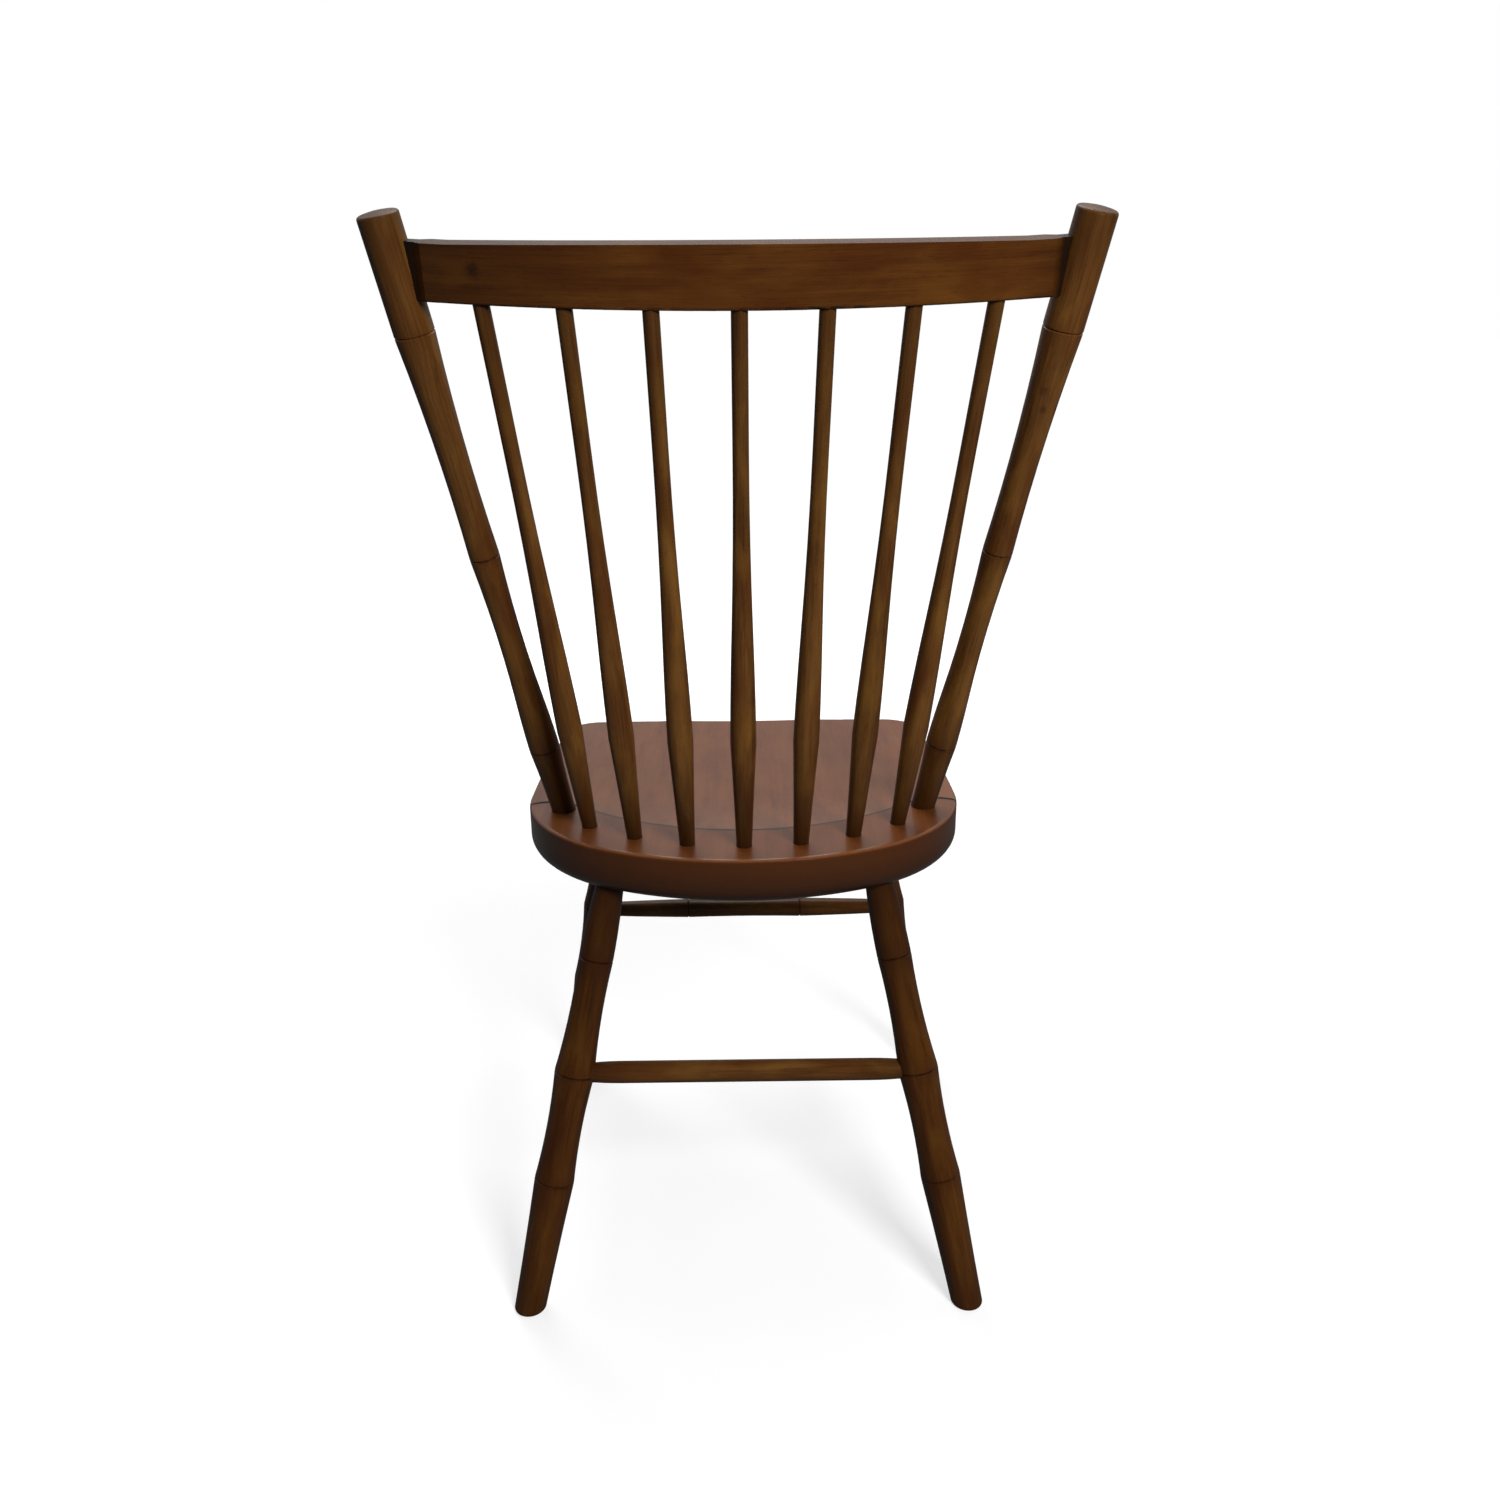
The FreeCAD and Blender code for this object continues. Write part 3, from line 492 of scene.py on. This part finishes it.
@dataclass(frozen=True)
class WoodFinish:
    """A stain under lacquer, with colours in linear light."""

    slot: Slot
    pale: Colour
    middle: Colour
    deep: Colour
    red: Colour
    amber: Colour
    # The next three colours also paint light: the first is shade on the legs' tops and the crest's
    # ends as well as dirt, the second a highlight on top edges as well as wear, and the third
    # shade at the crest's shoulders and under the seat as well as the cut lines.
    dirt_and_shade: Colour
    highlight_and_wear: Colour
    cut_lines_and_shade: Colour
    pit_depth: float
    roughness: float
    specular: float
    coat: float
    coat_roughness: float
    relief: float

    def material(self, name: str, grain: Grain, seed: int,
                 knots: tuple[Knot, ...] = ()) -> bpy.types.Material:
        """Wood with streaks, pores, patches of stain, dark cut lines and painted shade and
        highlight.

        Args:
            name: the material's name.
            grain: how the grain lies in the piece.
            seed: number that makes each piece's figure its own.
            knots: knots of this piece.

        Returns:
            The new material.
        """
        made = bpy.data.materials.new(name)
        made.use_nodes = True
        sheet = NodeSheet(made.node_tree)
        place = grain.place(sheet)
        masks = grain.masks(sheet, place)
        figure_place = sheet.moved(place, tuple(step * seed for step in FIGURE_STEP))
        streaks = sheet.noise(figure_place, STREAKS)
        pores = sheet.noise(figure_place, PORES)
        pits = sheet.levels(pores, [(PORE_START, 0.0), (PORE_FULL, self.pit_depth)])
        red = self.patches(sheet, figure_place, RED_PATCHES, RED_MOST)
        if masks.red is not None:
            red = sheet.maths("MAXIMUM", red, masks.red)
        amber = self.patches(sheet, figure_place, AMBER_PATCHES, AMBER_MOST)
        layers = [(amber, self.amber), (red, self.red), (pits, self.dirt_and_shade)]
        layers += [(self.knot_mask(sheet, knot), self.dirt_and_shade) for knot in knots]
        # These layers paint shade and highlight as well as stain, wear and cut lines.
        layers += [(masks.dark, self.dirt_and_shade), (masks.highlight_and_wear, self.highlight_and_wear), (masks.cut_lines_and_shade, self.cut_lines_and_shade)]
        colour = self.figure(sheet, figure_place, streaks)
        for cover, tint_and_shade in layers:
            if cover is not None:
                colour = sheet.blend(cover, colour, tint_and_shade)
        self.lacquer(sheet, figure_place, colour, streaks, pits)
        return made

    def figure(self, sheet: NodeSheet, place: Socket, streaks: Socket) -> Socket:
        """Colour of the stained grain: broad figure with finer streaks in it.

        Args:
            sheet: the material's nodes.
            place: coordinates of the figure.
            streaks: the finer streaks.

        Returns:
            The colour.
        """
        broad = sheet.noise(place, BROAD_FIGURE)
        fine = sheet.product(streaks, STREAK_SHARE)
        tone = sheet.maths("MULTIPLY_ADD", broad, BROAD_SHARE, fine)
        return sheet.ramp(tone, list(zip(FIGURE_STOPS, (self.deep, self.middle, self.pale))))

    def patches(self, sheet: NodeSheet, place: Socket, cloud: Cloud, most: float) -> Socket:
        """Soft patches where the stain turns to another colour.

        Args:
            sheet: the material's nodes.
            place: coordinates of the figure.
            cloud: the patches' pattern.
            most: the mask's value in the middle of a patch.

        Returns:
            The patches' mask.
        """
        return sheet.levels(sheet.noise(place, cloud), [(PATCH_START, 0.0), (PATCH_FULL, most)])

    def knot_mask(self, sheet: NodeSheet, knot: Knot) -> Socket:
        """Darkness round one knot, with a ragged edge.

        Args:
            sheet: the material's nodes.
            knot: the knot.

        Returns:
            The knot's mask.
        """
        coords = sheet.coords()
        away = sheet.length(sheet.moved(coords, tuple(-knot.centre)))
        ragged = sheet.maths("SUBTRACT", sheet.noise(coords, KNOT_EDGE), 0.5)
        edge = sheet.maths("MULTIPLY_ADD", away, 1.0 / knot.reach, ragged)
        return sheet.levels(edge, list(zip(KNOT_STOPS, (knot.depth, knot.depth / 2, 0.0))))

    def lacquer(self, sheet: NodeSheet, place: Socket, colour: Socket, streaks: Socket,
                pits: Socket) -> None:
        """Shader of the stained wood under its lacquer.

        Args:
            sheet: the material's nodes.
            place: coordinates of the figure.
            colour: the stained wood's colour.
            streaks: the fine streaks, which stand up.
            pits: the pores, which lie deeper.
        """
        wear_and_sheen = sheet.noise(place, GLOSS_WEAR)
        height = sheet.maths("MULTIPLY_ADD", streaks, STREAK_HEIGHT, sheet.product(pits, -1.0))
        relief = {"Strength": self.relief, "Distance": BUMP_DISTANCE, "Height": height}
        bump = sheet.add("ShaderNodeBump", relief)
        least = self.roughness - GLOSS_SPREAD / 2
        shader = sheet.add("ShaderNodeBsdfPrincipled", {
            "Base Color": colour,
            "Roughness": sheet.maths("MULTIPLY_ADD", wear_and_sheen, GLOSS_SPREAD, least),
            "Specular IOR Level": self.specular,
            "Coat Weight": self.coat,
            "Coat Roughness": self.coat_roughness,
            "Normal": bump.outputs[0],
        })
        sheet.add("ShaderNodeOutputMaterial", {0: shader.outputs[0]})

    def dress(self, node: str, grain: Grain, seed: int, knots: tuple[Knot, ...] = ()) -> None:
        """Give a CAD node this finish.

        Args:
            node: the node's name.
            grain: how the grain lies in it.
            seed: number of its figure.
            knots: its knots.
        """
        made = self.material(f"{self.slot.value}_{node}", grain, seed, knots)
        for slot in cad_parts[node].material_slots:
            slot.material = made
        log.info("dressed %s", node)


STICKS = WoodFinish(
    slot=Slot.TURNED,
    pale=(0.175, 0.075, 0.018),
    middle=(0.112, 0.045, 0.010),
    deep=(0.048, 0.016, 0.003),
    red=(0.068, 0.017, 0.003),
    amber=(0.185, 0.082, 0.014),
    # The next colour is also painted shade on the legs' tops, and the one after it the painted
    # highlight on the crest's top edge.
    dirt_and_shade=(0.022, 0.007, 0.002),
    highlight_and_wear=(0.240, 0.130, 0.055),
    cut_lines_and_shade=(0.010, 0.004, 0.002),
    pit_depth=0.5,
    roughness=0.42,
    specular=0.3,
    coat=0.18,
    coat_roughness=0.18,
    relief=0.35,
)
LEGS = replace(
    STICKS,
    pale=(0.112, 0.040, 0.006),
    middle=(0.073, 0.023, 0.003),
    deep=(0.036, 0.010, 0.002),
    red=(0.046, 0.011, 0.002),
    amber=(0.116, 0.045, 0.006),
)
CREST = replace(
    STICKS,
    slot=Slot.CREST,
    pale=(0.115, 0.039, 0.006),
    middle=(0.077, 0.024, 0.004),
    deep=(0.042, 0.011, 0.002),
    red=(0.058, 0.013, 0.002),
    amber=(0.120, 0.043, 0.006),
    # Also painted shade towards the crest's ends and in its shoulders.
    dirt_and_shade=(0.014, 0.005, 0.002),
    cut_lines_and_shade=(0.006, 0.003, 0.002),
)
SEAT = WoodFinish(
    slot=Slot.SEAT,
    pale=(0.226, 0.076, 0.021),
    middle=(0.185, 0.057, 0.015),
    deep=(0.132, 0.036, 0.009),
    red=(0.152, 0.039, 0.010),
    amber=(0.208, 0.070, 0.017),
    # Darker sides and rim; the next colour is wear with a painted highlight, and the one after it
    # the cut line with painted shade low on the seat.
    dirt_and_shade=(0.056, 0.015, 0.002),
    highlight_and_wear=(0.240, 0.095, 0.040),
    cut_lines_and_shade=(0.010, 0.004, 0.002),
    pit_depth=0.04,
    roughness=0.35,
    specular=0.45,
    coat=0.4,
    coat_roughness=0.22,
    relief=0.08,
)


@dataclass
class Seat:
    """The saddled plank."""

    node: str = "seat"
    seed: int = 1

    def build(self) -> None:
        """Dress the plank."""
        SEAT.dress(self.node, PlankGrain(), self.seed)


@dataclass
class Back:
    """Posts, spindles and crest rail, with the axes that the CAD gives them.

    The seeds are the figure numbers of the first post, the crest and the
    first spindle.
    """

    post_foot: Vector
    post_head: Vector
    post_rings: tuple[float, float] = (0.073, 0.270)
    head_ring_drop: float = 0.089
    post_knots: tuple[Knot, ...] = (
        Knot(Vector((-0.2388, 0.1630, 0.838)), 0.0055, 0.6),
        Knot(Vector((-0.2392, 0.1600, 0.823)), 0.0045, 0.6),
    )
    spindles: int = 7
    spindle_gap: float = 0.0295
    row_radius: float = 0.231
    row_back: float = 0.142758
    crest_drop: float = 0.062
    crest_bow: float = 0.046
    crest_tilt: float = math.radians(12.0)
    crest_knot: Knot = Knot(Vector((0.1949, 0.2041, 0.9287)), 0.0085)
    post_seed: int = 2
    crest_seed: int = 4
    spindle_seed: int = 5

    def crest_end(self) -> Vector:
        """Where the crest's lower level meets the left post's axis."""
        return self.post_head + (self.post_foot - self.post_head).normalized() * self.crest_drop

    def crest_radius(self) -> float:
        """Radius of the bent crest."""
        half = self.crest_end().x
        return (half ** 2 + self.crest_bow ** 2) / (2 * self.crest_bow)

    def crest_back(self) -> Vector:
        """Direction out of the crest's rear face."""
        return Vector((0.0, math.cos(self.crest_tilt), -math.sin(self.crest_tilt)))

    def crest_centre(self) -> Vector:
        """Centre that the crest is bent round."""
        end = self.crest_end()
        return (Vector((0.0, end.y, end.z))
                + self.crest_back() * (self.crest_bow - self.crest_radius()))

    def crest_sweep(self) -> float:
        """Half of the crest's angle, from post to post."""
        return math.asin(self.crest_end().x / self.crest_radius())

    def spindle_axis(self, index: int) -> tuple[Vector, Vector]:
        """Ends of a spindle's axis.

        Args:
            index: the spindle's number from the left, from 0.

        Returns:
            The point in the seat and the point in the crest.
        """
        last = (self.spindles - 1) / 2
        widest = math.asin((self.post_foot.x - self.spindle_gap) / self.row_radius)
        angle = (last - index) / last * widest
        low = Vector((math.sin(angle), math.cos(angle), 0.0)) * self.row_radius
        low += Vector((0.0, self.row_back - self.row_radius, self.post_foot.z))
        turn = (last - index) / (last + 1) * self.crest_sweep()
        radius = self.crest_radius()
        high = self.crest_centre() + self.crest_back() * (radius * math.cos(turn))
        return low, high + Vector((radius * math.sin(turn), 0.0, 0.0))

    def build(self) -> None:
        """Dress the posts, the crest and the spindles."""
        axis_length = (self.post_head - self.post_foot).length
        rings = (*self.post_rings, axis_length - self.head_ring_drop)
        for seed, side in enumerate(Side, start=self.post_seed):
            ends = (side.place(self.post_foot), side.place(self.post_head))
            grain = StickGrain(*ends, rings, low_shade=0.85, high_shade=0.35, low_run=0.12)
            knots = self.post_knots if side is Side.RIGHT else ()
            STICKS.dress(side.name_for("post"), grain, seed, knots)
        bend = BentGrain(self.crest_centre(), self.crest_tilt, self.crest_radius(),
                         self.crest_sweep())
        CREST.dress("crest_rail", bend, self.crest_seed, (self.crest_knot,))
        for index in range(self.spindles):
            grain = StickGrain(*self.spindle_axis(index), (), low_shade=0.9, high_shade=0.5,
                               low_run=0.09, high_run=0.2)
            STICKS.dress(f"spindle_{index + 1}", grain, self.spindle_seed + index)


@dataclass
class Base:
    """Legs and stretchers.

    The seeds are the figure numbers of the first leg, the rear and the front
    stretcher, and the first side stretcher.
    """

    rear_foot: Vector
    rear_top: Vector
    front_foot: Vector
    front_top: Vector
    leg_rings: tuple[float, float, float] = (0.129, 0.235, 0.346)
    stretcher_height: float = 0.224
    side_drop: float = 0.035
    front_ring: float = 0.066
    end_shade: float = 0.7
    leg_seed: int = 21
    rear_seed: int = 31
    front_seed: int = 32
    side_seed: int = 33

    def on_leg(self, foot: Vector, top: Vector, height: float) -> Vector:
        """Point of a leg's axis at a height."""
        return foot + (top - foot) * (height / top.z)

    def build(self) -> None:
        """Dress the legs and the stretchers."""
        rear = (self.rear_foot, self.rear_top)
        front = (self.front_foot, self.front_top)
        legs = {"rear_leg": rear, "front_leg": front}
        for seed, (stem, side) in enumerate(product(legs, Side), start=self.leg_seed):
            ends = (side.place(end) for end in legs[stem])
            # The legs' darker tops are painted shade under the seat.
            grain = StickGrain(*ends, self.leg_rings, low_shade=0.25, high_shade=0.75,
                               high_run=0.19)
            LEGS.dress(side.name_for(stem), grain, seed)
        self.cross("rear_stretcher", rear, (), self.rear_seed)
        rings = (-self.front_ring, self.front_ring)
        self.cross("front_stretcher", front, rings, self.front_seed)
        low = self.stretcher_height - self.side_drop
        for seed, side in enumerate(Side, start=self.side_seed):
            start = side.place(self.on_leg(*rear, low))
            finish = side.place(self.on_leg(*front, low))
            middle = ((finish - start).length / 2,)
            grain = StickGrain(start, finish, middle, self.end_shade, self.end_shade)
            STICKS.dress(side.name_for("side_stretcher"), grain, seed)

    def cross(self, node: str, leg: tuple[Vector, Vector], rings: tuple[float, ...],
              seed: int) -> None:
        """Dress a stretcher that runs from the left leg to the right one.

        Args:
            node: the stretcher's node.
            leg: foot and top of the left leg's axis.
            rings: places of its rings from its middle.
            seed: number of its figure.
        """
        start = self.on_leg(*leg, self.stretcher_height)
        finish = Side.RIGHT.place(start)
        places = tuple(start.x + ring for ring in rings)
        STICKS.dress(node, StickGrain(start, finish, places, self.end_shade, self.end_shade), seed)


@dataclass(frozen=True)
class Lamp:
    """A square soft lamp.

    size is its side in metres, watts its power, and mirrored whether the
    lacquer reflects it.
    """

    name: str
    place: Vector
    size: float
    watts: float
    mirrored: bool = False

    def hang(self, aim: Vector) -> None:
        """Hang the lamp in the scene.

        Args:
            aim: the point that it faces.
        """
        data = bpy.data.lights.new(self.name, "AREA")
        data.size = self.size
        data.energy = self.watts
        lamp = bpy.data.objects.new(self.name, data)
        lamp.location = self.place
        lamp.rotation_euler = (aim - self.place).to_track_quat("-Z", "Y").to_euler()
        lamp.visible_glossy = self.mirrored
        bpy.context.scene.collection.objects.link(lamp)


@dataclass
class Studio:
    """Pale floor, soft lamps, plain surround and the camera.

    The floor is painted floor_lit where it is seen and floor_unseen to other
    rays. Its glow goes by the distance from the chair, in shares of
    glow_reach. The lacquer mirrors the surround only on the side that the
    sitter faces, by mirror_fade, and by height as mirror_climb says.
    """

    floor_half: float = 30.0
    floor_mirrored: float = 0.05
    floor_lit: Colour = (0.5, 0.5, 0.5)
    floor_unseen: Colour = (0.05, 0.05, 0.05)
    glow_reach: float = 3.0
    glow: tuple[Stop, ...] = ((0.25, 0.62), (0.8, 1.0))
    room: Colour = (0.065, 0.065, 0.067)
    mirror_fade: tuple[Stop, ...] = ((0.1, 0.0), (0.6, 1.0))
    mirror_climb: tuple[Stop, ...] = (
        (0.28, 0.3), (0.4, 0.2), (0.6, 0.7), (0.8, 0.7), (0.92, 0.12),
    )
    lamps: tuple[Lamp, ...] = (
        Lamp("key_lamp", Vector((-0.8, 1.75, 1.6)), 0.7, 44.0),
        Lamp("top_lamp", Vector((0.0, -0.9, 3.0)), 1.8, 26.0, mirrored=True),
        Lamp("front_lamp", Vector((0.9, -2.2, 1.7)), 1.6, 38.0),
    )
    aim: Vector = Vector((0.0, 0.0, 0.5))
    camera_place: Vector = Vector((0.003, 1.217458, 0.902))
    yaw: float = math.radians(-0.47)
    pitch: float = math.radians(18.84)
    roll: float = math.radians(-0.45)
    lens: float = 31.2
    sensor: float = 36.0

    def build(self) -> None:
        """Lay the floor, light the chair and set the camera."""
        self.floor()
        self.surround()
        for lamp in self.lamps:
            lamp.hang(self.aim)
        self.camera()

    def floor(self) -> None:
        """Pale floor that keeps the chair's shadow and runs out to white."""
        mesh = bpy.data.meshes.new("floor")
        half = self.floor_half
        corners = [(-half, -half, 0.0), (half, -half, 0.0), (half, half, 0.0), (-half, half, 0.0)]
        mesh.from_pydata(corners, [], [(0, 1, 2, 3)])
        made = bpy.data.materials.new("pale_floor")
        made.use_nodes = True
        sheet = NodeSheet(made.node_tree)
        path = sheet.add("ShaderNodeLightPath").outputs
        seen = sheet.maths("MAXIMUM", path["Is Camera Ray"], path["Is Transmission Ray"])
        mirrored = sheet.product(path["Is Glossy Ray"], self.floor_mirrored)
        shown = sheet.maths("MAXIMUM", seen, mirrored)
        away = sheet.length(sheet.coords())
        far = sheet.levels(sheet.maths("DIVIDE", away, self.glow_reach), self.glow, "EASE")
        paint = sheet.blend(shown, self.floor_unseen, self.floor_lit)
        matt = sheet.add("ShaderNodeBsdfDiffuse", {"Color": paint})
        glow = sheet.add("ShaderNodeEmission", {"Strength": sheet.product(far, shown)})
        both = sheet.add("ShaderNodeAddShader", {0: matt.outputs[0], 1: glow.outputs[0]})
        sheet.add("ShaderNodeOutputMaterial", {0: both.outputs[0]})
        mesh.materials.append(made)
        floor = bpy.data.objects.new("floor", mesh)
        bpy.context.scene.collection.objects.link(floor)

    def surround(self) -> None:
        """White backdrop in view, and a dim room that lights the chair."""
        world = bpy.data.worlds.new("surround")
        world.use_nodes = True
        bpy.context.scene.world = world
        sheet = NodeSheet(world.node_tree)
        path = sheet.add("ShaderNodeLightPath").outputs
        _, back, height = sheet.split(sheet.add("ShaderNodeTexCoord").outputs["Generated"])
        ahead = sheet.levels(sheet.product(back, -1.0), self.mirror_fade, "EASE")
        climb = sheet.levels(height, self.mirror_climb)
        mirrored = sheet.product(path["Is Glossy Ray"], sheet.product(ahead, climb))
        seen = sheet.maths("MAXIMUM", path["Is Camera Ray"], path["Is Transmission Ray"])
        colour = sheet.blend(sheet.maths("MAXIMUM", seen, mirrored), self.room, WHITE)
        light = sheet.add("ShaderNodeBackground", {"Color": colour, "Strength": 1.0})
        sheet.add("ShaderNodeOutputWorld", {0: light.outputs[0]})

    def camera(self) -> None:
        """Camera of the photograph, behind the chair and looking down at it."""
        ahead = Vector((
            math.sin(self.yaw) * math.cos(self.pitch),
            -math.cos(self.yaw) * math.cos(self.pitch),
            -math.sin(self.pitch),
        ))
        level = Vector((-math.cos(self.yaw), -math.sin(self.yaw), 0.0))
        upright = level.cross(ahead)
        right = level * math.cos(self.roll) + upright * math.sin(self.roll)
        over = upright * math.cos(self.roll) - level * math.sin(self.roll)
        data = bpy.data.cameras.new("camera")
        data.lens = self.lens
        data.sensor_width = self.sensor
        camera = bpy.data.objects.new("camera", data)
        turn = Matrix((right, over, -ahead)).transposed().to_4x4()
        camera.matrix_world = Matrix.Translation(self.camera_place) @ turn
        bpy.context.scene.collection.objects.link(camera)
        bpy.context.scene.camera = camera


def main() -> None:
    """Build the chair's looks in order, then the studio."""
    logging.basicConfig(level=logging.INFO, format="%(name)s: %(message)s")
    Seat().build()
    Back(
        post_foot=Vector((0.173, 0.049258, 0.445)),
        post_head=Vector((0.265, 0.185758, 0.969)),
    ).build()
    Base(
        rear_foot=Vector((0.2085, 0.213258, 0.0)),
        rear_top=Vector((0.1235, 0.119258, 0.401)),
        front_foot=Vector((0.2115, -0.218242, 0.0)),
        front_top=Vector((0.1415, -0.165742, 0.401)),
    ).build()
    Studio().build()
    bpy.context.scene.view_settings.view_transform = "Standard"


if __name__ == "__main__":
    main()
